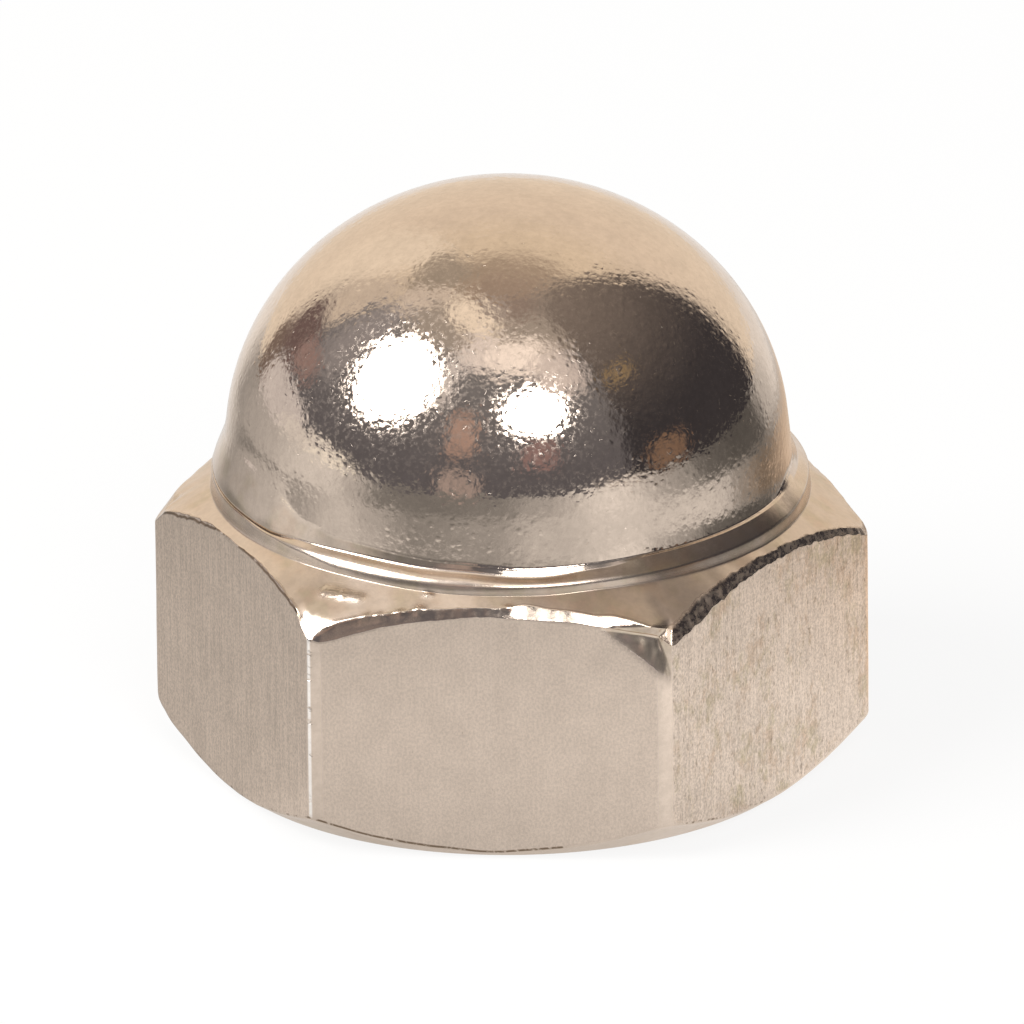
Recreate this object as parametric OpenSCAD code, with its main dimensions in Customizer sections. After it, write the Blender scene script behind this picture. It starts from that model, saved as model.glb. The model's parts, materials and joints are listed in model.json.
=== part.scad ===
// Low cap nut: a hexagon nut whose thread ends blind under a domed crown, all one piece.
// Millimetres, +Z up. The origin is the centre of the flat bearing face, and the crown points up.
// Two of the hexagon's corners lie on the X axis, so one pair of its flats faces +Y and -Y.

/* [Hexagon] */
// Distance across the flats
across_flats = 12.8; // [10.5:0.1:24]
// Height of the hexagon, from the bearing face to the foot of the collar
hex_h = 5.7; // [4:0.1:12]
// Radius of the rounded corners of the hexagon
corner_r = 0.45; // [0.1:0.05:1.5]
// How far the bearing face's edge lies inside the flats
bearing_inset = 0.25; // [0.1:0.05:0.8]
// Slope of the chamfer around the bearing face, in degrees
bottom_chamfer = 34; // [15:1:40]
// Slope of the chamfer between the collar and the corners, in degrees
top_chamfer = 34; // [15:1:40]

/* [Collar and neck] */
// How far the foot of the collar lies inside the flats
collar_inset = 0.25; // [0.1:0.05:0.8]
// Height of the collar
collar_h = 0.45; // [0.2:0.05:1.5]
// How much the collar's radius shrinks from its foot to its top
collar_draft = 0.05; // [0:0.025:0.2]
// Width of the concave flare between the collar and the crown
flare_w = 0.325; // [0.1:0.025:0.8]
// Height of that flare
flare_h = 0.6; // [0.2:0.05:1.5]

/* [Crown] */
// Height of the crown above its widest circle
crown_h = 5.35; // [4:0.05:12]
// Solid metal left above the tip of the drilled hole
crown_wall = 1.5; // [0.8:0.1:3]

/* [Thread] */
// Nominal thread diameter
thread_d = 8; // [4:0.5:9]
// Thread pitch
thread_pitch = 1.25; // [0.5:0.05:1.5]
// How much wider than the thread the countersunk mouth is
mouth_over = 0.6; // [0.2:0.1:1]
// Included angle of the countersink, in degrees
mouth_angle = 120; // [90:5:140]
// Included angle of the drill's point, in degrees
drill_angle = 118; // [90:1:150]

/* [Hidden] */
$fn = 128;
NICKEL = [0.72, 0.67, 0.62];
CORNERS = 6;
ARC_STEPS = 6;      // flats in one rounded corner, and in the flare
CROWN_STEPS = 36;   // rings in the crown
CUT_CLEAR = 1;      // how far a cutter or an envelope reaches past the metal

flat_r = across_flats / 2;
// The corner arcs are centred on this radius, so that they meet the flats square on
corner_centre_r = (flat_r - corner_r) / cos(30);
// The turned chamfers run out past the corners
envelope_r = flat_r / cos(30) + CUT_CLEAR;

bearing_r = flat_r - bearing_inset;
collar_r = flat_r - collar_inset;
collar_top_r = collar_r - collar_draft;
crown_r = collar_top_r - flare_w;
collar_top_z = hex_h + collar_h;
crown_z = collar_top_z + flare_h;
total_h = crown_z + crown_h;

// The flare is an arc that leaves the crown's wall square to its widest circle
flare_r = (flare_w * flare_w + flare_h * flare_h) / (2 * flare_w);
flare_sweep = 2 * atan(flare_w / flare_h);

bore_r = (thread_d - thread_pitch) / 2;
mouth_r = (thread_d + mouth_over) / 2;
mouth_h = (mouth_r - bore_r) / tan(mouth_angle / 2);
drill_tip_z = total_h - crown_wall;
bore_top_z = drill_tip_z - bore_r / tan(drill_angle / 2);

// Points on an arc from angle a0 to a1 about [cx, cy]
function arc(cx, cy, r, a0, a1, steps) =
    [for (i = [0:steps]) let (a = a0 + (a1 - a0) * i / steps) [cx + r * cos(a), cy + r * sin(a)]];

// The hexagon with its corners rounded, as one outline
function hexagon_outline() =
    [for (i = [0:CORNERS - 1])
        let (a = i * 360 / CORNERS)
        each arc(corner_centre_r * cos(a), corner_centre_r * sin(a), corner_r, a - 30, a + 30, ARC_STEPS)];

// The crown in section: a quarter ellipse, from just above its widest circle up to the pole
function crown_profile() =
    [for (i = [1:CROWN_STEPS])
        let (a = 90 * i / CROWN_STEPS)
        [crown_r * cos(a), crown_z + crown_h * sin(a)]];

// Outside of the turned blank, from the bearing face up over the crown
module turned_blank() {
    rotate_extrude()
        polygon(concat(
            [[0, 0], [bearing_r, 0]],
            [[envelope_r, (envelope_r - bearing_r) * tan(bottom_chamfer)]],
            [[envelope_r, hex_h - (envelope_r - collar_r) * tan(top_chamfer)]],
            [[collar_r, hex_h]],
            arc(crown_r + flare_r, crown_z, flare_r, 180 + flare_sweep, 180, ARC_STEPS),
            crown_profile()
        ));
}

// Countersunk mouth, straight wall at the thread's inner diameter, and the drill's point
module blind_bore() {
    rotate_extrude()
        polygon([
            [0, -CUT_CLEAR],
            [mouth_r, -CUT_CLEAR],
            [mouth_r, 0],
            [bore_r, mouth_h],
            [bore_r, bore_top_z],
            [0, drill_tip_z]
        ]);
}

module cap_nut() {
    color(NICKEL)
        difference() {
            intersection() {
                turned_blank();
                linear_extrude(total_h + CUT_CLEAR) polygon(hexagon_outline());
            }
            blind_bore();
        }
}

cap_nut();
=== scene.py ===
"""Looks of a low cap nut: bright nickel crown, satin hexagon, tapped blind hole, and its studio."""
import json
import logging
import math
from dataclasses import dataclass
from enum import Enum

import bpy
import numpy as np
from mathutils import Matrix, Vector


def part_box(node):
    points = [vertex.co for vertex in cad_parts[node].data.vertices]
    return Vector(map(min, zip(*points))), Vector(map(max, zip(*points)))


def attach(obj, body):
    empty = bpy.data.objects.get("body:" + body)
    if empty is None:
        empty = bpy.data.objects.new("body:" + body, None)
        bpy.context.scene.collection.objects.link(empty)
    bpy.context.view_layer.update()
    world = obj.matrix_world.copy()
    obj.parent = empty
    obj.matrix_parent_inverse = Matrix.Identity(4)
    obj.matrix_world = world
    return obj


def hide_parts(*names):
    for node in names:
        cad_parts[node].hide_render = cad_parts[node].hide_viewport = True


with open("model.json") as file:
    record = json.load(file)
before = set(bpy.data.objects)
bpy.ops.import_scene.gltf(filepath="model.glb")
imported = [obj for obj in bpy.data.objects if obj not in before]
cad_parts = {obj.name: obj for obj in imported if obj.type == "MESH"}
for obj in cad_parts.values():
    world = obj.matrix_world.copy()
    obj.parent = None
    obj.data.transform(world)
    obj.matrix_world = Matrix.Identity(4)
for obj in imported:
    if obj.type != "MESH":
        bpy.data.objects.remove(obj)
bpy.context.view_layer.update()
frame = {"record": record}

LOG = logging.getLogger("cap_nut")
MM = 0.001            # the frame is in metres and the sizes below are in millimetres
FULL_TURN = 2 * math.pi
SIXTH = FULL_TURN / 6
NODE = "cap_nut"
BODY = "root"
FAR = 9.0             # millimetres: well away from every edge of the flats
WELD_DECIMALS = 6     # points that agree to this many decimals are one
LOWER_EDGE, UPPER_EDGE, NECK_STEP = 2, 3, 7     # knees of the skin's profile, counted from its start
HASH_FACTORS = np.array([374761393, 668265263, 2147483647], dtype=np.uint64)
HASH_SEED = 974634777
HASH_SCRAMBLE = np.uint64(1274126177)
HASH_SHIFTS = (np.uint64(13), np.uint64(16))
HASH_BITS = 0xFFFF    # the lowest bits, which become the random value
WHITE = (1.0, 1.0, 1.0)
Array = np.ndarray
Pair = tuple[float, float]
Triple = tuple[float, float, float]
Stations = tuple[Pair, ...]                     # (bearing, size) in rising order
Ramp = tuple[float, float, float, float]        # where it starts and ends, and its values there


class Finish(Enum):
    """The piece's material slots."""

    PLATED = 0
    TAPPED = 1


# ---------------------------------------------------------------- numbers on arrays

def unit(vector: Array) -> Array:
    """Vectors on the last axis, each divided by its length."""
    return vector / np.maximum(np.linalg.norm(vector, axis=-1, keepdims=True), 1e-12)


def ease(value: Array, low: float, high: float) -> Array:
    """Smooth step: 0 up to low, 1 from high on, and 3t^2 - 2t^3 between them."""
    t = np.clip((value - low) / (high - low), 0.0, 1.0)
    return t * t * (3 - 2 * t)


def soft_min(first: Array, second: Array, blend: float) -> Array:
    """The lesser of two fields, with the crease between them rounded over about `blend`."""
    h = np.clip(0.5 + 0.5 * (second - first) / blend, 0.0, 1.0)
    return second + (first - second) * h - blend * h * (1 - h)


def wrap_degrees(angle: Array) -> Array:
    """Angles brought into the range from -180 to 180 degrees."""
    return (angle + 180.0) % 360.0 - 180.0


@dataclass(frozen=True)
class Noise:
    """A smooth random field over places in millimetres.

    Each point of a cubic lattice gets a hashed value between -1 and 1, and the eight around a
    place are blended with the quintic 6t^5 - 15t^4 + 10t^3 along each axis. Each further octave
    is half as large and half as strong.
    """

    size: float             # the lattice spacing of the first octave, in millimetres
    seed: int
    octaves: int = 1
    strength: float = 1.0

    def at(self, points: Array) -> Array:
        """The field's value at each place, with xyz on the last axis."""
        total = np.zeros(points.shape[:-1])
        for octave in range(self.octaves):
            scale = 2 ** octave
            total += self.lattice(points * scale / self.size, self.seed + octave) / scale
        return self.strength * total

    @staticmethod
    def lattice(scaled: Array, seed: int) -> Array:
        """One octave, with the lattice spacing 1."""
        cell = np.floor(scaled).astype(np.int64)
        t = scaled - cell
        t = t * t * t * (t * (t * 6 - 15) + 10)
        total = np.zeros(scaled.shape[:-1])
        for corner in np.ndindex(2, 2, 2):
            node = (cell + np.array(corner)).astype(np.uint64)
            mixed = (node * HASH_FACTORS).sum(axis=-1) + np.uint64(seed * HASH_SEED)
            mixed = (mixed ^ (mixed >> HASH_SHIFTS[0])) * HASH_SCRAMBLE
            mixed = mixed ^ (mixed >> HASH_SHIFTS[1])
            value = (mixed & np.uint64(HASH_BITS)).astype(float) / (HASH_BITS / 2) - 1.0
            total += value * np.prod(np.where(np.array(corner) == 1, t, 1 - t), axis=-1)
        return total


def around(azimuth: Array, stations: Stations) -> Array:
    """A size that varies round the nut, eased from station to station.

    Args:
        azimuth: angles in radians, from +X anticlockwise.
        stations: (bearing, size) pairs in rising order. A bearing is in degrees, 0 at the
            front and 90 at +X.

    Returns:
        The size at each azimuth.
    """
    bearing = wrap_degrees(np.degrees(azimuth) + 90.0)
    places, sizes = np.array(stations, dtype=float).T
    places = np.concatenate([[places[-1] - 360], places, [places[0] + 360]])
    sizes = np.concatenate([[sizes[-1]], sizes, [sizes[0]]])
    i = np.clip(np.searchsorted(places, bearing, side="right") - 1, 0, len(places) - 2)
    t = (bearing - places[i]) / (places[i + 1] - places[i])
    return sizes[i] + (sizes[i + 1] - sizes[i]) * t * t * (3 - 2 * t)


# ---------------------------------------------------------------- profiles and surfaces

@dataclass(frozen=True)
class Knee:
    """One vertex of a turned profile: where it is for each column, and how it is rounded."""

    radius: Array | float
    height: Array | float
    fillet: Array | float = 0.0
    arc_rows: int = 0
    rows_before: int = 0
    crowding: float = 1.0   # above 1, the rows of the straight before it crowd towards it

    def place(self) -> Array:
        """The vertex as (radius, height) for each column."""
        return np.stack(np.broadcast_arrays(self.radius, self.height), axis=-1).astype(float)


def tangent_arc(before: Array, at: Array, after: Array, knee: Knee) -> list[Array]:
    """The rows of the arc that rounds a knee.

    Where the line turns by the angle a, the arc of radius f starts and ends f tan(a/2) from the
    vertex. Its points are the centre plus f times the turned unit normal
    (sin((1-s)a) n0 + sin(s a) n1) / sin(a), for s from 0 to 1.

    Args:
        before: the vertex before it, as (radius, height) for each column.
        at: the knee's own vertex.
        after: the vertex after it.
        knee: the knee.

    Returns:
        Its rows, each (radius, height) for each column.
    """
    back, ahead = unit(before - at), unit(after - at)
    turn = np.maximum(np.arccos(np.clip(-(back * ahead).sum(-1), -1.0, 1.0)), 1e-4)
    reach = (knee.fillet * np.tan(turn / 2))[:, None]
    start, end = at + back * reach, at + ahead * reach
    centre = at + unit(back + ahead) * (knee.fillet / np.cos(turn / 2))[:, None]
    shares = np.linspace(0.0, 1.0, knee.arc_rows + 1)[:, None]
    weights = np.sin((1 - shares) * turn) / np.sin(turn), np.sin(shares * turn) / np.sin(turn)
    return [centre + (start - centre) * a[:, None] + (end - centre) * b[:, None] for a, b in zip(*weights)]


def rounded_profile(knees: list[Knee], columns: int) -> tuple[Array, Array]:
    """A profile of straight lines joined by tangent arcs, one for each column round the axis.

    Args:
        knees: the vertices in order. The first and last are end points.
        columns: how many columns go round the axis.

    Returns:
        The (radius, height) points as [row, column, 2], and for each row the knee it belongs
        to: a whole number on a knee's arc, and a number and a half on the straight after it.
    """
    at = [np.broadcast_to(knee.place(), (columns, 2)) for knee in knees]
    rows, marks = [at[0]], [0.0]
    for i, knee in enumerate(knees[1:], start=1):
        arc = tangent_arc(*at[i - 1:i + 2], knee) if i < len(knees) - 1 else [at[i]]
        straight = np.arange(1, knee.rows_before + 1) / (knee.rows_before + 1)
        rows += [arc[0] + (rows[-1] - arc[0]) * (1 - share) ** knee.crowding for share in straight] + arc
        marks += [i - 0.5] * len(straight) + [float(i)] * len(arc)
    return np.stack(rows), np.array(marks)


def turned(profile: Array, azimuth: Array) -> Array:
    """Points (r cos a, r sin a, z) from (r, z) rows and one azimuth a for each column."""
    r, z = profile[..., 0], profile[..., 1]
    return np.stack([r * np.cos(azimuth), r * np.sin(azimuth), z], axis=-1)


class MeshMaker:
    """Collects grids of points and welds them into one closed mesh."""

    def __init__(self, fields: tuple[str, ...]) -> None:
        """Start with no points and no faces, and with these numbers kept for each point."""
        self.points: list[Array] = []
        self.values: dict[str, list[Array]] = {name: [] for name in fields}
        self.faces: list[Array] = []
        self.slots: list[int] = []
        self.finish = Finish.PLATED
        self.count = 0

    def add(self, points: Array, **fields: Array | float) -> Array:
        """Adds a grid of points.

        Args:
            points: places in millimetres, [row, column, 3].
            fields: the numbers kept for each point, by name.

        Returns:
            The points' numbers as [row, column].
        """
        shape = points.shape[:2]
        self.points.append(points.reshape(-1, 3))
        for name, parts in self.values.items():
            parts.append(np.broadcast_to(fields[name], shape).ravel())
        numbers = self.count + np.arange(shape[0] * shape[1]).reshape(shape)
        self.count += numbers.size
        return numbers

    def cover(self, faces: Array, flip: bool = False) -> None:
        """Takes in faces, [face, corner], with the finish that is current."""
        self.faces.append(faces[:, ::-1] if flip else faces)
        self.slots.append(self.finish.value)

    def quads(self, low: Array, high: Array) -> None:
        """Faces between two rows of as many points, closed round the axis."""
        self.cover(np.stack([low, np.roll(low, -1), np.roll(high, -1), high], axis=-1))

    def sheet(self, numbers: Array) -> None:
        """Faces over a whole grid, closed round the axis."""
        for low, high in zip(numbers[:-1], numbers[1:]):
            self.quads(low, high)

    def strip(self, fine: Array, coarse: Array, ratio: int, flip: bool = False) -> None:
        """A strip from a row to one with `ratio` times fewer points.

        The fine edges of each coarse one are shared: those before its middle fan to its first
        point, those after it to its second, and one triangle closes the fan between the two.

        Args:
            fine: the point numbers of the finer row.
            coarse: the point numbers of the coarser row.
            ratio: how many fine points stand over one coarse point.
            flip: turn the faces over, for a strip whose coarse row comes first.
        """
        first, second = coarse, np.roll(coarse, -1)
        middle = (ratio + 1) // 2
        made = []
        for k in range(ratio):
            a = fine[(np.arange(len(coarse)) * ratio + k) % len(fine)]
            b = fine[(np.arange(len(coarse)) * ratio + k + 1) % len(fine)]
            made.append(np.stack([a, b, first if k < middle else second], axis=-1))
            if k == middle - 1:
                made.append(np.stack([b, second, first], axis=-1))
        self.cover(np.concatenate(made), flip)

    def fan(self, ring: Array, pole: int, flip: bool = False) -> None:
        """Triangles from a ring to one point."""
        self.cover(np.stack([ring, np.roll(ring, -1), np.full(len(ring), pole)], axis=-1), flip)

    def whole_faces(self, merged: Array, corners: int) -> tuple[Array, Array]:
        """The faces with this many corners after the weld, leaving out those without an area.

        Args:
            merged: each point's number after the weld.
            corners: 4, or 3, which takes in the quads that lost one corner.

        Returns:
            The faces as [face, corner], and each one's slot.
        """
        found, slots = [], []
        for faces, slot in zip(self.faces, self.slots):
            faces = merged[faces]
            twice = faces == np.roll(faces, -1, axis=1)
            if faces.shape[1] == corners:
                found.append(faces[~twice.any(axis=1)])
            elif corners == 3:
                once = twice.sum(axis=1) == 1
                found.append(faces[once][~twice[once]].reshape(-1, 3))
            else:
                continue
            slots.append(np.full(len(found[-1]), slot))
        return np.concatenate(found), np.concatenate(slots)

    def build(self, name: str) -> bpy.types.Object:
        """Makes the mesh object, in metres, smooth, closed and facing outwards.

        Args:
            name: the piece's name.

        Returns:
            The new object at the origin.
        """
        places = np.concatenate(self.points)
        _, first, merged = np.unique(
            np.round(places, WELD_DECIMALS), axis=0, return_index=True, return_inverse=True)
        (four, four_slots), (three, three_slots) = (
            self.whole_faces(merged.reshape(-1), corners) for corners in (4, 3))
        sizes = np.repeat([4, 3], [len(four), len(three)])
        mesh = bpy.data.meshes.new(name)
        mesh.vertices.add(len(first))
        mesh.loops.add(int(sizes.sum()))
        mesh.polygons.add(len(sizes))
        mesh.vertices.foreach_set("co", (places[first] * MM).astype(np.float32).ravel())
        mesh.loops.foreach_set("vertex_index", np.concatenate([four.ravel(), three.ravel()]))
        mesh.polygons.foreach_set("loop_start", np.cumsum(sizes) - sizes)
        mesh.polygons.foreach_set("material_index", np.concatenate([four_slots, three_slots]))
        for label, parts in self.values.items():
            layer = mesh.attributes.new(label, "FLOAT", "POINT")
            layer.data.foreach_set("value", np.concatenate(parts)[first].astype(np.float32))
        mesh.update(calc_edges=True)
        mesh.validate(verbose=False)
        mesh.shade_smooth()
        mesh.update()
        piece = bpy.data.objects.new(name, mesh)
        bpy.context.scene.collection.objects.link(piece)
        return piece


# ---------------------------------------------------------------- the nut

@dataclass(frozen=True)
class Hexagon:
    """The six flats, with rounded corners, a chamfer at each end and a tilted upper chamfer."""

    flat_r: float                       # centre to a flat
    height: float = 5.7                 # bearing face to the foot of the collar
    bearing_r: float = 6.15             # edge of the bearing face
    collar_r: float = 6.15              # foot of the collar
    chamfer_slope: float = math.radians(34)
    corner_radii: tuple[float, ...] = (0.45, 0.40, 0.50, 0.40, 0.20, 0.62)      # from +X, anticlockwise
    bearing_fillet: float = 0.10
    fold_fillet: float = 0.02           # where a flat goes over to its bevel
    bevel_fillet: float = 0.4           # over the bevel's length, where it meets the chamfer
    least_bevel: float = 0.02
    bevel_widths: Stations = (
        (-120, 0.05), (-96, 0.08), (-90, 0.20), (-85, 0.04), (-77, 0.07), (-68, 0.06), (-63, 0.02),
        (-56, 0.02), (-44, 0.05), (-33, 0.05), (-31, 0.10), (-28, 0.24), (-16, 0.17), (0, 0.11),
        (6, 0.13), (18, 0.12), (27, 0.12), (32, 0.20), (42, 0.22), (52, 0.15), (66, 0.12), (86, 0.12),
        (91, 0.08), (150, 0.06))
    bevel_tilts: Stations = (           # degrees inwards from upright
        (-120, 24), (-96, 30), (-90, 44), (-85, 24), (-34, 24), (-29, 17), (-14, 19), (1, 22), (7, 33),
        (24, 34), (28, 27), (32, 24), (60, 22), (120, 22))
    top_drops: Stations = (             # how much lower the upper edge lies
        (-92, 0.0), (-84, -0.05), (-72, -0.08), (-56, -0.07), (-46, -0.11), (-34, -0.12), (-31, -0.03),
        (-26, 0.05), (-15, 0.11), (0, 0.13), (10, 0.10), (18, 0.04), (23, -0.04), (28, -0.08), (31, 0.0),
        (60, 0.0), (84, -0.06), (96, 0.0))
    wobbles: Stations = ((-31, 1.0), (-5, 1.0), (4, 0.3), (28, 0.3), (32, 1.0))
    bottom_fillets: Stations = (
        (-150, 0.12), (-96, 0.14), (-90, 0.42), (-84, 0.16), (-31, 0.08), (0, 0.09), (90, 0.12))
    teeth: Stations = (                 # how far the bevel's lower edge wanders
        (-90, 0.0), (-84, 0.030), (-60, 0.014), (-36, 0.018), (-30, 0.0), (-10, 0.012), (2, 0.012),
        (6, 0.0), (28, 0.0), (30, 0.0), (34, 0.035), (86, 0.028), (90, 0.0))
    tilt: float = 0.08                  # the upper chamfer stands this much higher at one side
    tilt_towards: float = math.radians(-170)
    top_noise: Noise = Noise(0.5, 11, 3, 0.018)
    bottom_noise: Noise = Noise(0.6, 23, 2, 0.0108)
    fillet_noise: Noise = Noise(0.9, 31, strength=0.35)
    teeth_noise: Noise = Noise(0.15, 17, 2)
    bevel_noise: Noise = Noise(0.7, 37, strength=0.15)

    def local(self, azimuth: Array) -> tuple[Array, Array]:
        """The nearest corner's number for each azimuth, and the angle from it in radians."""
        nearest = np.round(azimuth / SIXTH)
        return nearest.astype(int) % 6, azimuth - nearest * SIXTH

    def radius(self, azimuth: Array) -> Array:
        """Distance from the axis to the outline.

        On a flat it is f / cos(30 deg - |d|), with d the angle from the corner. On a corner's
        arc of radius c about a centre at m = (f - c) / cos(30 deg), it is
        m cos d + sqrt(c^2 - m^2 sin^2 d).
        """
        corner, turn = self.local(azimuth)
        c, m = self.corner_arc(corner)
        flat = self.flat_r / np.cos(SIXTH / 2 - np.abs(turn))
        arc = m * np.cos(turn) + np.sqrt(np.maximum(c * c - (m * np.sin(turn)) ** 2, 0.0))
        return np.where(np.abs(turn) < self.arc_half_angle(corner), arc, flat)

    def corner_arc(self, corner: Array) -> tuple[Array, Array]:
        """The radius of each corner's arc, and how far its centre is from the axis."""
        c = np.array(self.corner_radii)[corner]
        return c, (self.flat_r - c) / math.cos(SIXTH / 2)

    def arc_half_angle(self, corner: Array) -> Array:
        """Half the angle that a corner's arc takes up, seen from the axis."""
        c, m = self.corner_arc(corner)
        return np.arctan2(c * math.sin(SIXTH / 2), m + c * math.cos(SIXTH / 2))

    def azimuths(self, columns: int, crowd: int) -> Array:
        """Azimuths of the columns: even, with `crowd` more of them drawn in at each corner.

        The density is 1 plus a bell at each corner as wide as its arc, and the columns stand
        at equal steps of its running total.
        """
        fine = np.linspace(0.0, FULL_TURN, 36001)
        corner, turn = self.local(fine)
        width = 1.3 * self.arc_half_angle(corner) + math.radians(0.7)
        even = (columns - 6 * crowd) / FULL_TURN
        bells = crowd / (width * math.sqrt(math.pi)) * np.exp(-(turn / width) ** 2)
        total = np.concatenate([[0.0], np.cumsum((even + bells)[:-1] * np.diff(fine))])
        return np.interp(np.arange(columns) / columns * total[-1], total, fine)

    def lift(self, azimuth: Array) -> Array:
        """How much higher the tilted upper chamfer stands at each azimuth."""
        return self.tilt * np.cos(azimuth - self.tilt_towards)

    def corner_distance(self, azimuth: Array) -> Array:
        """Distance along the outline from the nearest corner, above 0 to its anticlockwise side."""
        return self.local(azimuth)[1] * self.radius(azimuth)

    def knees(self, azimuth: Array) -> list[Knee]:
        """The profile from the bearing face's edge to the upper edge of the flats.

        A narrow bevel of the tilt t ends the flat, the width w under the edge it would have
        had. It meets the chamfer of the slope s after the length w / (cos t - s sin t).
        """
        radius = self.radius(azimuth)
        slope = math.tan(self.chamfer_slope)
        rim = np.stack([radius * np.cos(azimuth), radius * np.sin(azimuth), 0 * azimuth], axis=-1)
        top = self.height + self.lift(azimuth) - (radius - self.collar_r) * slope
        top = top + around(azimuth, self.wobbles) * self.top_noise.at(rim) - around(azimuth, self.top_drops)
        bottom = (radius - self.bearing_r) * slope + self.bottom_noise.at(rim)
        low = around(azimuth, self.bottom_fillets) * (1 + self.fillet_noise.at(rim))
        width = around(azimuth, self.bevel_widths) * (1 + self.bevel_noise.at(rim))
        width = np.maximum(width + around(azimuth, self.teeth) * self.teeth_noise.at(rim), self.least_bevel)
        tilt = np.radians(around(azimuth, self.bevel_tilts))
        length = width / (np.cos(tilt) - slope * np.sin(tilt))
        return [
            Knee(self.bearing_r, 0.0, self.bearing_fillet, 3, 2),
            Knee(radius, bottom, low, 4, 3),
            Knee(radius, top - width, self.fold_fillet, 3, 27, crowding=1.5),
            Knee(radius - length * np.sin(tilt), top - width + length * np.cos(tilt),
                 self.bevel_fillet * length, 6, 2),
        ]


@dataclass(frozen=True)
class NeckStation:
    """The neck's form at one bearing, seen from above: 0 is the front and 90 is +X.

    Its four knees are (radius, height, rounding), from the collar's foot to the crown's wall.
    """

    bearing: float
    foot: Triple
    edge: Triple
    step: Triple
    root: Triple


@dataclass(frozen=True)
class Neck:
    """The collar, and the flare or step between it and the crown's wall.

    The blank wasn't quite true in the lathe, so the flare is wide at one side and a mere step
    at another. The stations say how, and the form between them is eased.
    """

    stations: tuple[NeckStation, ...] = (
        NeckStation(-150, (6.15, 5.70, 0.05), (6.10, 6.16, 0.08), (6.02, 6.24, 0.10), (5.82, 6.72, 0.30)),
        NeckStation(-92, (6.15, 5.70, 0.05), (6.10, 6.20, 0.04), (6.07, 6.26, 0.06), (5.80, 6.92, 0.10)),
        NeckStation(-62, (6.15, 5.70, 0.06), (6.11, 6.13, 0.04), (6.08, 6.165, 0.03), (5.80, 7.10, 0.30)),
        NeckStation(-50, (6.15, 5.70, 0.06), (6.10, 6.05, 0.05), (6.03, 6.08, 0.04), (5.80, 6.95, 0.40)),
        NeckStation(-41, (6.15, 5.70, 0.05), (6.11, 6.02, 0.16), (5.90, 6.13, 0.07), (5.80, 6.55, 0.30)),
        NeckStation(-30, (6.13, 5.69, 0.02), (6.12, 5.98, 0.32), (5.825, 6.12, 0.10), (5.785, 6.40, 0.30)),
        NeckStation(-8, (6.11, 5.625, 0.02), (6.11, 5.89, 0.26), (5.83, 6.05, 0.12), (5.785, 6.25, 0.30)),
        NeckStation(9, (6.10, 5.63, 0.02), (6.09, 5.86, 0.14), (5.91, 5.94, 0.12), (5.795, 6.12, 0.12)),
        NeckStation(22, (6.12, 5.69, 0.04), (6.10, 5.87, 0.15), (5.87, 6.02, 0.08), (5.80, 6.14, 0.06)),
        NeckStation(34, (6.15, 5.69, 0.05), (6.10, 5.85, 0.15), (5.88, 6.13, 0.04), (5.82, 6.155, 0.03)),
        NeckStation(72, (6.15, 5.69, 0.05), (6.12, 5.88, 0.15), (5.90, 6.15, 0.04), (5.83, 6.175, 0.03)),
        NeckStation(84, (6.15, 5.69, 0.05), (6.12, 5.96, 0.14), (5.93, 6.20, 0.14), (5.83, 6.42, 0.30)),
        NeckStation(95, (6.15, 5.70, 0.05), (6.12, 6.02, 0.12), (5.92, 6.24, 0.12), (5.83, 6.50, 0.30)),
        NeckStation(150, (6.15, 5.70, 0.05), (6.11, 6.10, 0.12), (5.94, 6.22, 0.12), (5.80, 6.66, 0.30)),
    )

    def knees(self, azimuth: Array, hexagon: Hexagon) -> list[Knee]:
        """The profile from the collar's foot to the root of the crown's wall."""
        found = []
        for name, arc_rows, rows_before, crowding in (
                ("foot", 4, 13, 1.0), ("edge", 5, 2, 1.0), ("step", 5, 2, 1.0), ("root", 4, 4, 0.3)):
            r, z, fillet = (around(azimuth, tuple((s.bearing, getattr(s, name)[i]) for s in self.stations))
                            for i in range(3))
            if name == "foot":
                z = z + hexagon.lift(azimuth)
            found.append(Knee(r, z, fillet, arc_rows, rows_before, crowding))
        return found


@dataclass(frozen=True)
class Crown:
    """The dome: a quarter ellipse turned about an axis that stands a little off the hexagon's."""

    top: float                      # height of the pole
    radius: float = 5.775
    widest_z: float = 6.75
    join_z: float = 7.2             # where the mesh changes over to fewer columns
    shift: Pair = (-0.06, 0.0)
    shift_heights: Pair = (5.9, 6.5)     # no shift at the first, all of it at the second
    rows: int = 33

    @property
    def join_angle(self) -> float:
        """The angle a at which the ellipse reaches join_z."""
        return math.asin((self.join_z - self.widest_z) / (self.top - self.widest_z))

    @property
    def join_r(self) -> float:
        """The ellipse's radius at join_z."""
        return self.radius * math.cos(self.join_angle)

    def moved(self, points: Array) -> Array:
        """Points brought over to the crown's axis, more and more from the collar to the wall."""
        share = ease(points[..., 2], *self.shift_heights)
        return points + np.array([*self.shift, 0.0]) * share[..., None]

    def profile(self) -> Array:
        """Points (R cos a, z0 + H sin a), with a from just over the join to just under the pole."""
        a = np.linspace(self.join_angle, math.pi / 2, self.rows + 1)[1:-1]
        height = self.top - self.widest_z
        return np.stack([self.radius * np.cos(a), self.widest_z + height * np.sin(a)], axis=-1)


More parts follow.
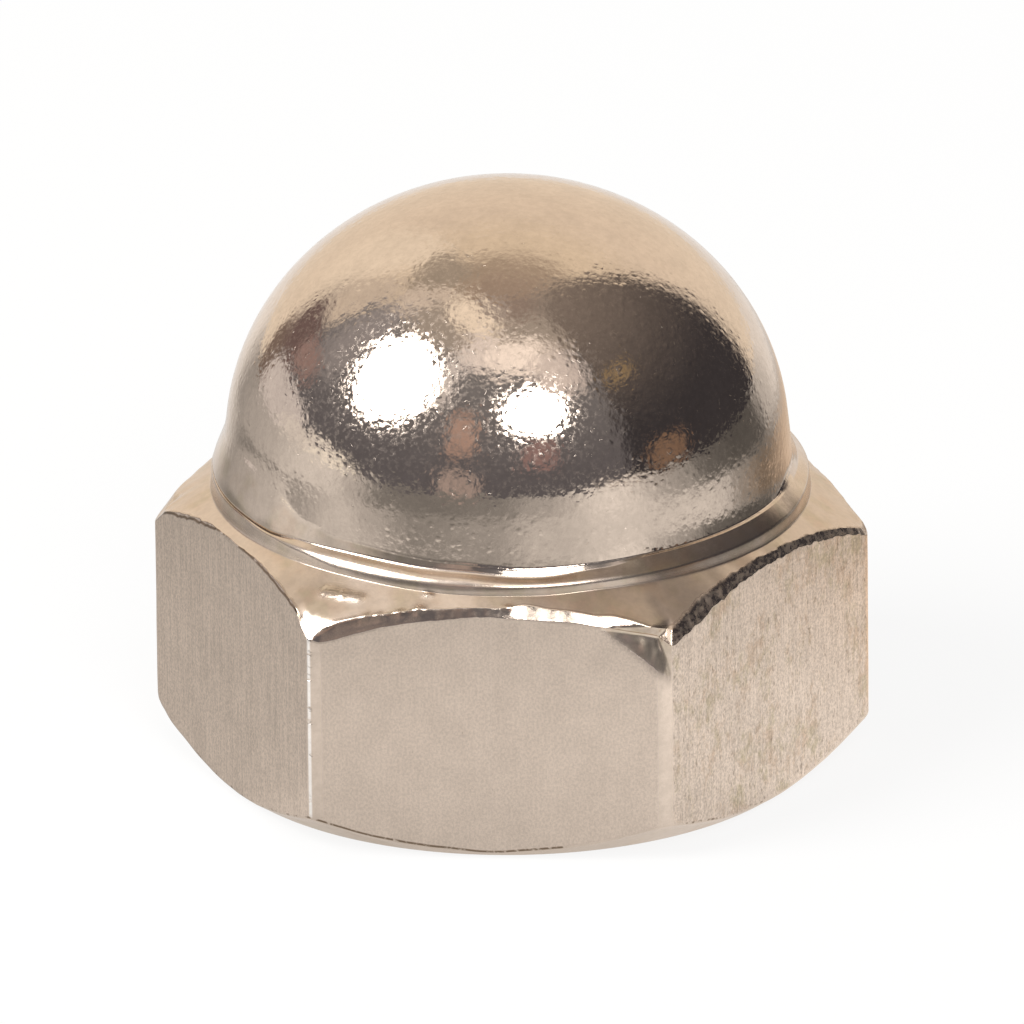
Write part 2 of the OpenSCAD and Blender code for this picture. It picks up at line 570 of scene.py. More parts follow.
@dataclass(frozen=True)
class TappedHole:
    """The blind hole: a countersunk mouth, a right-handed thread and the drill's point."""

    minor_r: float                     # the tapping drill's radius
    pitch: float = 1.25
    mouth_over: float = 0.3            # the mouth's radius over the thread's outer one
    mouth_half_angle: float = math.radians(60)
    top_z: float = 8.57
    tip_z: float = 10.6
    thread_end: float = 7.6
    fade: float = 0.35
    thread_flat: float = 0.18          # share of the half pitch that a crest or root keeps flat
    steps: int = 10                    # rows in one pitch

    @property
    def major_r(self) -> float:
        """The thread's outer radius: half a pitch outside the tapping drill's, as M threads are."""
        return self.minor_r + self.pitch / 2

    @property
    def mouth_r(self) -> float:
        """Radius of the countersink at the bearing face."""
        return self.major_r + self.mouth_over

    def points(self, azimuth: Array) -> Array:
        """The wall as [row, column, 3], from the mouth to the top of the full-width hole.

        The grid is sheared into a helix: z = pitch (row / steps + a / 360 deg - 1), held between
        the mouth and the top, so each row keeps one place on the thread's section. There the
        radius runs from the minor to the major one as a trapezium wave, fades out at the
        thread's end, and never falls inside the countersink r = mouth - z tan(half angle).
        """
        turns = math.ceil(self.top_z / self.pitch) + 1
        row = np.arange(turns * self.steps + 1)[:, None]
        helix = self.pitch * (row / self.steps + azimuth[None, :] / FULL_TURN - 1)
        z = np.clip(helix, 0.0, self.top_z)
        wave = np.abs((row / self.steps) % 1.0 - 0.5) * 2
        wave = np.clip((wave - self.thread_flat) / (1 - 2 * self.thread_flat), 0.0, 1.0)
        depth = wave * (self.major_r - self.minor_r)
        end = 1 - ease(z, self.thread_end - self.fade, self.thread_end + self.fade)
        countersink = self.mouth_r - z * math.tan(self.mouth_half_angle)
        r = np.maximum(self.minor_r + depth * end, countersink)
        return np.stack([r * np.cos(azimuth), r * np.sin(azimuth), z], axis=-1)


@dataclass(frozen=True)
class Bruise:
    """A knock on the front flat's upper right corner: a bright slanting facet that bites in."""

    start: Pair = (2.50, 4.90)      # x and z of the facet's left end
    direction: float = math.radians(-41.0)      # which way its lower edge runs
    slope: float = 0.27
    hollow: float = 0.45
    right_x: float = 3.71
    right_slope: float = 0.9
    right_blend: float = 0.05
    top_z: float = 5.10
    top_slope: float = 1.0
    top_blend: float = 0.02
    furthest_y: float = -5.5        # nothing behind this is touched
    wander: Noise = Noise(0.15, 51, strength=0.02)
    streaks: Noise = Noise(0.07, 53, strength=0.12)
    streak_stretch: Triple = (1.0, 1.0, 0.2)
    streak_rise: float = 0.05       # how far in the streaks reach their full depth

    def depth(self, points: Array) -> Array:
        """How far each point is pushed in.

        The least of three ramps: one that rises from the lower edge as s t + h t^2, a steep one
        from the right edge and a steep one from the top.
        """
        x, y, z = points[..., 0], points[..., 1], points[..., 2]
        along = (math.cos(self.direction), math.sin(self.direction))
        t = (x - self.start[0]) * -along[1] + (z - self.start[1]) * along[0]
        t = np.maximum(t + self.wander.at(points), 0.0)
        streaks = self.streaks.at(points * np.array(self.streak_stretch)) * np.minimum(t, self.streak_rise)
        ramp = self.slope * t + self.hollow * t * t + streaks
        side = self.right_slope * np.maximum(self.right_x - x, 0.0)
        top = self.top_slope * np.maximum(self.top_z - z, 0.0)
        least = soft_min(soft_min(ramp, side, self.right_blend), top, self.top_blend)
        return np.where((y < self.furthest_y) & (x > 0), np.maximum(least, 0.0), 0.0)


@dataclass(frozen=True)
class Nick:
    """A small dent or raised burr: a bell of this width and height, round a place or along a line."""

    place: Triple
    width: float
    height: float                   # outwards, so below 0 for a dent
    end: Triple | None = None       # where it is drawn out to

    def push(self, points: Array) -> Array:
        """Outward movement of each point: height exp(-(distance / width)^2)."""
        away = points - np.array(self.place)
        if self.end is not None:
            run = np.array(self.end) - np.array(self.place)
            share = np.clip(away @ run / (run @ run), 0.0, 1.0)
            away = away - share[..., None] * run
        return self.height * np.exp(-(away ** 2).sum(-1) / self.width ** 2)


@dataclass(frozen=True)
class CornerCut:
    """A short turned facet that takes the tip off one corner, above the flats.

    In the plane of radius and height its normal rises at `elevation` degrees, and the facet
    lies reach - fall b from the origin along that normal, b degrees past its bearing.
    """

    bearing: float = -30.0
    before: float = 4.0             # degrees that it reaches to each side of its bearing
    after: float = 10.0
    elevation: float = 36.0
    reach: float = 8.74
    fall: float = 0.018
    below: float = 5.6              # nothing higher up is touched
    whole: Pair = (0.4, 0.7)        # shares of `before` and `after` where it is at full depth

    def cut(self, points: Array) -> Array:
        """Points brought back to the facet where they stand past it, near its bearing."""
        x, y, z = np.moveaxis(points, -1, 0)
        radius = np.hypot(x, y)
        rise = math.radians(self.elevation)
        off = wrap_degrees(np.degrees(np.arctan2(x, -y)) - self.bearing)
        lowered = self.fall * np.maximum(off, 0.0)
        past = np.maximum(radius * math.cos(rise) + z * math.sin(rise) - self.reach + lowered, 0.0)
        past = past * ease(off, -self.before, -self.whole[0] * self.before)
        past = past * ease(off, self.after, self.whole[1] * self.after) * (z < self.below)
        shrink = 1 - past * math.cos(rise) / radius
        return np.stack([x * shrink, y * shrink, z - past * math.sin(rise)], axis=-1)


@dataclass
class CapNut:
    """The whole nut, one closed piece of metal."""

    hexagon: Hexagon
    neck: Neck
    crown: Crown
    hole: TappedHole
    bruise: Bruise = Bruise()
    corner_cuts: tuple[CornerCut, ...] = (
        CornerCut(),
        CornerCut(bearing=-90, before=9, after=9, elevation=28, reach=8.74, fall=0.0),
        CornerCut(bearing=90, before=9, after=9, elevation=28, reach=8.69, fall=0.0),
    )
    nicks: tuple[Nick, ...] = (
        Nick((2.79, -6.4, 0.46), 0.07, -0.05),
        Nick((3.53, -6.4, 3.71), 0.06, 0.02),
        Nick((5.97, -2.46, 0.34), 0.07, -0.05),
        Nick((6.27, -1.94, 0.42), 0.06, -0.04),
        Nick((-5.61, -3.10, 1.73), 0.06, -0.03),
        Nick((-3.38, -5.60, 5.53), 0.10, 0.052, end=(-3.08, -5.76, 5.53)),
        Nick((-2.98, -5.80, 5.53), 0.09, 0.045, end=(-2.66, -5.94, 5.53)),
        Nick((-2.50, -6.29, 5.23), 0.06, 0.030),
        Nick((-2.25, -6.31, 5.27), 0.06, 0.028),
        Nick((-1.81, -6.31, 5.34), 0.06, 0.028),
        Nick((-1.41, -6.30, 5.40), 0.07, 0.035),
        Nick((-1.24, -6.02, 5.60), 0.07, 0.040),
        Nick((0.38, -6.29, 5.46), 0.06, 0.028),
        Nick((-6.19, -1.94, 5.30), 0.035, 0.018),
        Nick((-6.10, -2.08, 5.27), 0.030, 0.016),
        Nick((-6.02, -2.24, 5.24), 0.035, 0.018),
        Nick((-5.62, -2.93, 5.03), 0.040, 0.018),
    )
    bruise_gloss: float = 30.0      # how soon the satin ends inside the bruise
    burr_gloss: float = 30.0        # how soon a raised burr is bright
    brightest_burr: float = 0.85
    hole_gloss: float = 0.3
    wave: Noise = Noise(0.8, 61, 2)
    tear: Noise = Noise(0.12, 67, strength=0.3)
    gloss_stations: Stations = (    # by knee, as are the next
        (0, 0.3), (1.5, 0.3), (2, 0.5), (2.5, 0.5), (3, 0.8), (4, 0.85), (4.1, 0.3), (4.9, 0.3), (5, 0.35),
        (7, 0.6), (8, 1.0))
    wave_stations: Stations = (
        (1, 0), (1.5, 0.006), (2.5, 0.003), (3, 0.006), (4.5, 0.007), (5.5, 0.005), (7.5, 0.003), (8.5, 0))
    # Painted shade: dark lines along the edges' roundings and in the neck's groove, in bands of rows.
    grime: tuple[tuple[float, float, Stations], ...] = (    # first and last knee, then how much by bearing
        (1.5, 2.5, ((-150, 0.3), (-31, 0.5), (-28, 0.66), (12, 0.66), (16, 0.2), (28, 0.2), (36, 0.5),
                    (90, 0.3))),
        (3.0, 4.0, ((-92, 0.2), (-87, 0.9), (-80, 0.75), (-77, 0.95), (-67, 0.9), (-64, 0.6), (-57, 0.5),
                    (-54, 0.8), (-51, 0.8), (-49, 0.6), (-45, 0.8), (-33, 0.85), (-29, 0.0), (31, 0.1),
                    (35, 0.42), (86, 0.42), (92, 0.2))),
        (7.0, 7.0, ((-88, 0.0), (-84, 0.8), (-64, 0.75), (-50, 0.9), (-42, 0.0), (92, 0.0))),
    )
    foot_groove: Stations = ((-88, 0), (-84, 0.02), (-64, 0.018), (-52, 0.03), (-42, 0))
    columns: int = 756
    crowd: int = 40
    crown_ratio: int = 3
    hole_ratio: int = 4

    def skin(self, azimuth: Array) -> tuple[Array, dict[str, Array]]:
        """The outside from the bearing face to the crown's widest circle.

        Args:
            azimuth: one angle for each column.

        Returns:
            Points [row, column, 3], and the finish fields for each.
        """
        start = Knee(0.5 * (self.hole.mouth_r + self.hexagon.bearing_r), 0.0)
        end = Knee(self.crown.join_r, self.crown.join_z, rows_before=2)
        knees = [start, *self.hexagon.knees(azimuth), *self.neck.knees(azimuth, self.hexagon), end]
        profile, mark = rounded_profile(knees, len(azimuth))
        points = self.crown.moved(turned(profile, azimuth))
        for corner_cut in self.corner_cuts:
            points = corner_cut.cut(points)
        gloss = np.interp(mark, *np.array(self.gloss_stations).T)[:, None]
        raised = sum(np.maximum(nick.push(points), 0.0) for nick in self.nicks)
        bright = np.minimum(gloss + self.burr_gloss * raised, self.brightest_burr)
        fields = {"flat": self.flat_field(profile, mark) - self.bruise_gloss * self.bruise.depth(points),
                  "gloss": np.maximum(gloss, bright),
                  "corner": np.repeat(self.hexagon.corner_distance(azimuth)[None], len(mark), axis=0),
                  "grime": self.painted_edge_shade_field(azimuth, mark)}
        return self.worked(points, mark, azimuth), fields

    @staticmethod
    def flat_field(profile: Array, mark: Array) -> Array:
        """Signed height inside the satin flats: above 0 between the two edges' roundings."""
        z = profile[..., 1]
        low = z[np.flatnonzero(mark == LOWER_EDGE)[-1]]
        high = z[np.flatnonzero(mark == UPPER_EDGE)[0]]
        return np.minimum(z - low, high - z)

    def painted_edge_shade_field(self, azimuth: Array, mark: Array) -> Array:
        """How much painted shade lies at each point: bands of rows, each strong at some bearings."""
        share = np.zeros((len(mark), len(azimuth)))
        for low, high, stations in self.grime:
            rows = np.flatnonzero((mark >= low) & (mark <= high))
            rows = rows[1:-1] if low == high else rows
            share[rows] = np.maximum(share[rows], around(azimuth, stations))
        return share

    def worked(self, points: Array, mark: Array, azimuth: Array) -> Array:
        """The skin after use: bruise, nicks, slightly wavy chamfers, and the crown's torn foot."""
        out = points.copy()
        out[..., 1] += self.bruise.depth(points)
        across = np.roll(out, -1, axis=1) - np.roll(out, 1, axis=1)
        normal = unit(np.cross(across, np.gradient(out, axis=0)))
        push = sum(nick.push(out) for nick in self.nicks)
        push = push + np.interp(mark, *np.array(self.wave_stations).T)[:, None] * self.wave.at(points)
        torn = np.flatnonzero(mark == NECK_STEP)[1:-1]
        push[torn] -= around(azimuth, self.foot_groove) * (1 + self.tear.at(points[torn]))
        return out + normal * push[..., None]

    def build(self) -> bpy.types.Object:
        """Makes the nut's mesh as one closed piece."""
        azimuth = self.hexagon.azimuths(self.columns, self.crowd)
        points, fields = self.skin(azimuth)
        maker = MeshMaker(tuple(fields))
        skin = maker.add(points, **fields)
        maker.sheet(skin)
        self.add_crown(maker, skin[-1], azimuth[::self.crown_ratio])
        self.add_hole(maker, skin[0], azimuth[::self.hole_ratio])
        LOG.info("skin of %d rows by %d columns", *skin.shape)
        return maker.build("nut_body")

    def add_crown(self, maker: MeshMaker, rim: Array, azimuth: Array) -> None:
        """Adds the dome over the skin's last row, on fewer columns, up to the pole."""
        finish = {"flat": -FAR, "gloss": 1.0, "corner": FAR, "grime": 0.0}
        profile = np.repeat(self.crown.profile()[:, None], len(azimuth), axis=1)
        dome = maker.add(self.crown.moved(turned(profile, azimuth)), **finish)
        maker.strip(rim, dome[0], self.crown_ratio)
        maker.sheet(dome)
        pole = np.array([[[*self.crown.shift, self.crown.top]]])
        maker.fan(dome[-1], maker.add(pole, **finish)[0, 0])

    def add_hole(self, maker: MeshMaker, rim: Array, azimuth: Array) -> None:
        """Adds the rest of the bearing face, the thread and the drill's point."""
        finish = {"flat": -FAR, "gloss": self.hole_gloss, "corner": FAR, "grime": 0.0}
        wall = self.hole.points(azimuth)
        inside = maker.add(wall, **finish)
        maker.strip(rim, inside[0], self.hole_ratio, flip=True)
        maker.finish = Finish.TAPPED
        low, high = inside[:-1], inside[1:]
        steps = self.hole.steps
        body = np.stack([low[:, :-1], low[:, 1:], high[:, 1:], high[:, :-1]], axis=-1)
        maker.cover(body.reshape(-1, 4), flip=True)
        seam = np.stack([inside[:-steps - 1, -1], inside[steps:-1, 0], inside[steps + 1:, 0],
                         inside[1:-steps, -1]], axis=-1)
        maker.cover(seam, flip=True)
        tip = maker.add(np.array([[[0.0, 0.0, self.hole.tip_z]]]), **finish)[0, 0]
        maker.fan(inside[-1], tip, flip=True)


# ---------------------------------------------------------------- shader trees

Socket = bpy.types.NodeSocket
Value = float | tuple[float, ...] | Socket


class Tree:
    """A short way to add and join the nodes of one tree."""

    def __init__(self, tree: bpy.types.NodeTree) -> None:
        """Work on this tree, after emptying it."""
        self.tree = tree
        tree.nodes.clear()

    def node(self, kind: str, inputs: dict[str | int, Value] | None = None,
             **settings: object) -> bpy.types.Node:
        """Adds a node.

        Args:
            kind: the node's type without the word ShaderNode.
            inputs: values or sockets for its inputs, by name or number.
            settings: its own properties.

        Returns:
            The new node.
        """
        made = self.tree.nodes.new(kind if kind.startswith("Node") else "ShaderNode" + kind)
        for name, value in settings.items():
            setattr(made, name, value)
        for name, value in (inputs or {}).items():
            self.put(value, made.inputs[name])
        return made

    def put(self, value: Value, target: Socket) -> None:
        """Joins a socket to an input, or sets the input to a number or colour."""
        if isinstance(value, bpy.types.NodeSocket):
            self.tree.links.new(value, target)
        elif target.type == "RGBA" and len(value) == 3:
            target.default_value = (*value, 1.0)
        else:
            target.default_value = value

    def math(self, operation: str, a: Value, b: Value = 0.0) -> Socket:
        """One sum of two numbers."""
        return self.node("Math", {0: a, 1: b}, operation=operation).outputs[0]

    def product(self, first: Value, *others: Value) -> Socket:
        """All the numbers multiplied together."""
        for other in others:
            first = self.math("MULTIPLY", first, other)
        return first

    def ramp(self, value: Value, low: Value, high: Value, start: Value = 0.0, end: Value = 1.0) -> Socket:
        """Smooth step from start, at low, to end, at high."""
        made = self.node("MapRange", {"Value": value, "From Min": low, "From Max": high,
                                      "To Min": start, "To Max": end}, interpolation_type="SMOOTHSTEP")
        return made.outputs["Result"]

    def mix(self, share: Value, first: Value, second: Value) -> Socket:
        """A colour between two."""
        made = self.node("Mix", data_type="RGBA")
        for name, value in (("Factor_Float", share), ("A_Color", first), ("B_Color", second)):
            self.put(value, next(s for s in made.inputs if s.identifier == name))
        return next(s for s in made.outputs if s.identifier == "Result_Color")

    def blend(self, share: Value, first: Value, second: Value) -> Socket:
        """A number between two."""
        made = self.node("Mix", {"Factor": share, "A": first, "B": second}, data_type="FLOAT")
        return made.outputs["Result"]

    def mix_shader(self, share: Value, first: Socket, second: Socket) -> Socket:
        """A shader between two."""
        return self.node("MixShader", {0: share, 1: first, 2: second}).outputs[0]

    def scaled(self, vector: Value, factor: Value) -> Socket:
        """A place or a colour times a number."""
        return self.node("VectorMath", {0: vector, 3: factor}, operation="SCALE").outputs[0]

    def length(self, vector: Value) -> Socket:
        """A vector's length."""
        return self.node("VectorMath", {0: vector}, operation="LENGTH").outputs["Value"]

    def metal(self, colour: Socket, roughness: Socket, height: Socket, rim: Triple = WHITE) -> None:
        """Ends the tree in a metal.

        Args:
            colour: its colour.
            roughness: its roughness.
            height: its relief in millimetres.
            rim: what its colour is multiplied by at a grazing angle.
        """
        bump = self.node("Bump", {"Height": height, "Distance": MM, "Strength": 1.0})
        shader = self.node("BsdfPrincipled", {
            "Base Color": colour, "Roughness": roughness, "Metallic": 1.0, "Specular Tint": rim,
            "Normal": bump.outputs[0]})
        self.node("OutputMaterial", {0: shader.outputs[0]})

    def noise(self, place: Value, size: float, detail: float = 2.0, rough: float = 0.5,
              stretch: Triple = (1.0, 1.0, 1.0)) -> Socket:
        """Noise from 0 to 1 with features about `size` millimetres across, drawn out by `stretch`."""
        scale = tuple(1.0 / (size * s) for s in stretch)
        at = self.node("VectorMath", {0: place, 1: scale}, operation="MULTIPLY").outputs[0]
        made = self.node("TexNoise", {"Vector": at, "Scale": 1.0, "Detail": detail, "Roughness": rough})
        return made.outputs["Fac"]

    def millimetres(self) -> Socket:
        """The place on the piece, in millimetres."""
        return self.scaled(self.node("TexCoord").outputs["Object"], 1 / MM)

    def bearing(self, at: bpy.types.bpy_prop_collection) -> Socket:
        """Degrees round the axis, 0 at the front and 90 at +X, from the outputs X and Y."""
        turn = self.math("ARCTAN2", at["X"], self.product(at["Y"], -1.0))
        return self.product(turn, math.degrees(1.0))

    def cells(self, place: Value, size: float) -> tuple[Socket, Socket]:
        """Random points about `size` millimetres apart.

        Returns:
            The distance to the nearest point, in sizes, and a random number for that point.
        """
        made = self.node("TexVoronoi", {"Vector": self.scaled(place, 1 / size), "Scale": 1.0}).outputs
        return made["Distance"], self.node("SeparateColor", {0: made["Color"]}).outputs[0]


def new_material(name: str) -> tuple[bpy.types.Material, Tree]:
    """An empty material and its tree."""
    made = bpy.data.materials.new(name)
    made.use_nodes = True
    return made, Tree(made.node_tree)


class Effect:
    """A node group: made once, with named inputs and outputs, and placed in the materials."""

    def __init__(self, name: str, inputs: dict[str, float | None], outputs: tuple[str, ...]) -> None:
        """Makes the empty group.

        Args:
            name: the group's name.
            inputs: each input's name, with its number, or None for a place in space.
            outputs: the names of the numbers it gives.
        """
        self.group = bpy.data.node_groups.new(name, "ShaderNodeTree")
        self.tree = Tree(self.group)
        for label, value in inputs.items():
            kind = "NodeSocketVector" if value is None else "NodeSocketFloat"
            socket = self.group.interface.new_socket(label, in_out="INPUT", socket_type=kind)
            if value is not None:
                socket.default_value = value
        for label in outputs:
            self.group.interface.new_socket(label, in_out="OUTPUT", socket_type="NodeSocketFloat")
        self.source = self.tree.node("NodeGroupInput").outputs
        self.result = self.tree.node("NodeGroupOutput").inputs

    def place(self, tree: Tree, **values: Value) -> bpy.types.Node:
        """Puts the group into a tree, with its own values for the inputs."""
        made = tree.node("Group", node_tree=self.group)
        for label, value in values.items():
            tree.put(value, made.inputs[label])
        return made


class Effects:
    """The node groups that the metal's finishes share. Places in them are in millimetres."""

    def __init__(self) -> None:
        """Builds each group once."""
        self.peel = self.orange_peel()
        self.grain = self.drawn_grain()
        self.pits = self.small_pits()
        self.edge = self.ragged_edge()
        self.stain = self.tarnish()

    @staticmethod
    def orange_peel() -> Effect:
        """The pebbly skin of the plating: soft lumps, finer grains, round dots, and where it is hazy."""
        inputs = {"Place": None, "Lumps": 1.0, "Grains": 1.0, "Dots": 0.0}
        made = Effect("orange_peel", inputs, ("Height", "Haze"))
        tree, source = made.tree, made.source
        lumps = tree.noise(source["Place"], 0.24, 2.0, 0.45)
        fine = tree.noise(source["Place"], 0.085, 1.0, 0.6)
        away, chance = tree.cells(source["Place"], 0.15)
        dots = tree.product(tree.ramp(away, 0.60, 0.05), tree.ramp(chance, 0.2, 0.9), source["Dots"])
        total = tree.math("ADD", tree.product(lumps, source["Lumps"]), tree.product(fine, source["Grains"]))
        total = tree.math("ADD", total, dots)
        tree.put(total, made.result["Height"])
        tree.put(tree.ramp(fine, 0.40, 0.66), made.result["Haze"])
        return made

    @staticmethod
    def drawn_grain() -> Effect:
        """Fine upright lines of the drawn bar, and a frosting over them, as height and as tone."""
        made = Effect("drawn_grain", {"Place": None, "Lines": 1.0, "Frost": 1.0}, ("Height", "Tone"))
        tree, source = made.tree, made.source
        lines = tree.noise(source["Place"], 0.07, 2.0, 0.6, stretch=(1.0, 1.0, 26.0))
        frost = tree.noise(source["Place"], 0.05, 2.0, 0.8, stretch=(1.0, 1.0, 1.3))
        total = tree.math("ADD", tree.product(lines, source["Lines"]), tree.product(frost, source["Frost"]))
        weight = tree.math("ADD", source["Lines"], source["Frost"])
        tree.put(total, made.result["Height"])
        tree.put(tree.math("DIVIDE", total, weight), made.result["Tone"])
        return made

    @staticmethod
    def small_pits() -> Effect:
        """Short upright marks: the peaks of a drawn-out noise, the more the larger the amount."""
        made = Effect("small_pits", {"Place": None, "Amount": 0.5}, ("Mask",))
        tree, source = made.tree, made.source
        field = tree.noise(source["Place"], 0.065, 2.0, 0.6, stretch=(1.0, 1.0, 3.0))
        low = tree.math("SUBTRACT", 0.74, tree.product(source["Amount"], 0.14))
        tree.put(tree.ramp(field, low, tree.math("ADD", low, 0.12)), made.result["Mask"])
        return made

    @staticmethod
    def ragged_edge() -> Effect:
        """A crisp but ragged border: a smooth step of the distance plus upright teeth of noise."""
        inputs = {"Place": None, "Distance": 0.0, "Ragged": 0.08, "Soft": 0.02}
        made = Effect("ragged_edge", inputs, ("Mask",))
        tree, source = made.tree, made.source
        teeth = tree.noise(source["Place"], 0.16, 3.0, 0.65, stretch=(1.0, 1.0, 3.0))
        wander = tree.product(tree.math("SUBTRACT", teeth, 0.5), source["Ragged"])
        moved = tree.math("ADD", source["Distance"], wander)
        low = tree.product(source["Soft"], -1.0)
        tree.put(tree.ramp(moved, low, source["Soft"]), made.result["Mask"])
        return made

    @staticmethod
    def tarnish() -> Effect:
        """Blotchy stains drawn out along Z, with finer mottling inside them."""
        made = Effect("tarnish", {"Place": None, "Amount": 0.5}, ("Mask",))
        tree, source = made.tree, made.source
        broad = tree.noise(source["Place"], 1.2, 2.0, 0.5, stretch=(1.0, 1.0, 1.3))
        fine = tree.noise(source["Place"], 0.16, 4.0, 0.75, stretch=(1.0, 1.0, 1.6))
        both = tree.product(tree.math("ADD", broad, fine), 0.5)
        low = tree.math("SUBTRACT", 0.72, tree.product(source["Amount"], 0.3))
        tree.put(tree.ramp(both, low, tree.math("ADD", low, 0.14)), made.result["Mask"])
        return made


@dataclass(frozen=True)
class Skin:
    """What the outside's finish is worked out from: places, masks from 0 to 1, and noises."""

    place: Socket           # in millimetres
    left: Socket            # mask of the flat left of the front one
    right: Socket           # mask of the flat right of the front one
    upper: Socket           # mask of the upper half
    neck: Socket            # mask of all above the collar's wall
    flat: Socket            # height inside the flats, in millimetres
    edge: Socket            # distance from the nearest corner, in millimetres
    gloss: Socket
    # painted shade along the edges' roundings and in the neck's groove
    grime: Socket
    satin: Socket           # mask of the drawn flats
    crown: Socket
    cone: Socket            # mask of both chamfers
    bevel: Socket           # mask of the narrow bevel over the flats
    uneven: Socket
    patchy: Socket
    glinting_corners: Socket            # mask of the corners with a painted highlight and with notches
    chatter: Socket         # mask of the high places along them
    pits: Socket
    peel: Socket            # height
    haze: Socket
    grain: Socket           # height
    tone: Socket


@dataclass(frozen=True)
class PlatedNickel:
    """The outside: bright over the crown and the collar, satin on the drawn flats.

    Of a pair of amounts, the first is for the flats in general. The second is for the flat on
    the right, or the one on the left where the name says so. The border's second is for both.
    """

    colour: Triple = (0.72, 0.60, 0.50)
    rim: Triple = (0.95, 0.91, 0.87)        # the colour at a grazing angle
    stain: Triple = (0.40, 0.34, 0.19)
    rust: Triple = (0.50, 0.35, 0.23)
    # Dark brown: the dirt in the pits, and the painted shade on the bevel band and along the edges.
    dirt_and_painted_shade: Triple = (0.23, 0.165, 0.115)
    # Near white: the painted highlight along the corners left of the front.
    glinting_corners: Triple = (0.98, 0.92, 0.86)
    crown_roughness: float = 0.05
    crown_haze: float = 0.13
    turned_roughness: float = 0.42
    satin_roughness: float = 0.36
    bevel_dullness: Pair = (0.16, 0.46)
    lumps: float = 0.0060           # millimetres, as are the other depths
    grains: float = 0.0022
    dots: float = 0.0030
    grain_depth: float = 0.0030
    pit_depth: float = 0.004
    notch_depth: float = 0.009
    turned_peel: float = 0.2        # how much of the crown's peel the turned faces have
    border: Pair = (0.24, 0.06)     # the satin ends this far from the corners
    ragged: Pair = (0.06, 0.14)
    pit_amount: Pair = (0.12, 1.0)
    stain_amount: Pair = (0.15, 0.85)
    stain_share: float = 0.52
    blotch_share: float = 0.34
    # how much painted shade darkens the bevel band
    bevel_shade_share: float = 0.35
    pit_share: float = 0.5
    left_lines: Pair = (0.12, 0.45)
    right_lines: float = 0.3
    left_contrast: Pair = (0.09, 0.18)
    right_contrast: float = 0.12
    clouding: float = 0.035
    polish: float = 0.05
    # Widths of the painted highlight along the corners:
    glint_widths: Pair = (0.055, 0.02)       # none this far from a corner, and all of it this near
    notch_widths: Pair = (0.10, 0.03)
    glint_bearings: Pair = (10.0, -10.0)     # no painted highlight or notches at the first, and all of them at the second

    def material(self, effects: Effects) -> bpy.types.Material:
        """Builds the material from the piece's finish fields and its place in space."""
        made, tree = new_material("plated_nickel")
        skin = self.skin(tree, effects)
        # Painted shade: the bevel band over the flats is darkened in blotches, and it is made rougher there
        # too.
        bevel_shade = tree.product(skin.bevel, tree.ramp(skin.uneven, 0.30, 0.70))
        colour = self.base_colour(tree, skin, bevel_shade, effects)
        tree.metal(colour, self.roughness(tree, skin, bevel_shade), self.relief(tree, skin), self.rim)
        return made

    def skin(self, tree: Tree, effects: Effects) -> Skin:
        """Reads the piece's fields and works out the masks and noises that the finish needs."""
        place = tree.millimetres()
        at = tree.node("SeparateXYZ", {0: place}).outputs
        bearing = tree.bearing(at)
        half = math.degrees(SIXTH / 2)
        right = tree.ramp(bearing, half - 1, half + 1)
        left = tree.ramp(bearing, 1 - half, -half - 1)
        flat, gloss, corner, grime = (tree.node("Attribute", attribute_name=name).outputs["Fac"]
                                      for name in ("flat", "gloss", "corner", "grime"))
        edge = tree.math("ABSOLUTE", corner)
        border = tree.blend(tree.math("MAXIMUM", left, right), *self.border)
        inside = tree.math("MINIMUM", flat, tree.math("SUBTRACT", edge, border))
        satin = effects.edge.place(tree, Place=place, Distance=inside, Soft=0.02,
                                   Ragged=tree.blend(right, *self.ragged)).outputs["Mask"]
        peel = effects.peel.place(tree, Place=place, Lumps=self.lumps, Grains=self.grains,
                                  Dots=self.dots).outputs
        lines = tree.math("ADD", tree.blend(left, *self.left_lines), tree.product(right, self.right_lines))
        grain = effects.grain.place(tree, Place=place, Lines=lines, Frost=1.0).outputs
        pit_amount = tree.blend(right, *self.pit_amount)
        pits = effects.pits.place(tree, Place=place, Amount=pit_amount).outputs["Mask"]
        upper = tree.ramp(at["Z"], 2.0, 3.0)
        crown = tree.ramp(gloss, 0.9, 1.0)
        turned_face = tree.math("SUBTRACT", 1.0, crown)
        under_flare = tree.ramp(at["Z"], 5.70, 5.62)
        return Skin(
            place=place, left=left, right=right, upper=upper,
            neck=tree.ramp(at["Z"], 5.9, 6.0), flat=flat, edge=edge, gloss=gloss, grime=grime, satin=satin,
            crown=crown, cone=tree.product(turned_face, tree.ramp(flat, -0.12, -0.25)),
            bevel=tree.product(tree.ramp(flat, 0.0, -0.03), upper, tree.ramp(gloss, 0.5, 0.75), under_flare),
            uneven=tree.noise(place, 0.16, 3.0, 0.7), patchy=tree.noise(place, 0.8, 2.0, 0.6),
            glinting_corners=tree.product(tree.ramp(flat, -0.05, 0.05), tree.ramp(bearing, *self.glint_bearings)),
            chatter=tree.ramp(tree.noise(place, 0.11, 2.0, 0.6, stretch=(4.0, 4.0, 1.0)), 0.30, 0.46),
            pits=tree.product(pits, satin), peel=peel["Height"], haze=peel["Haze"], grain=grain["Height"],
            tone=grain["Tone"])

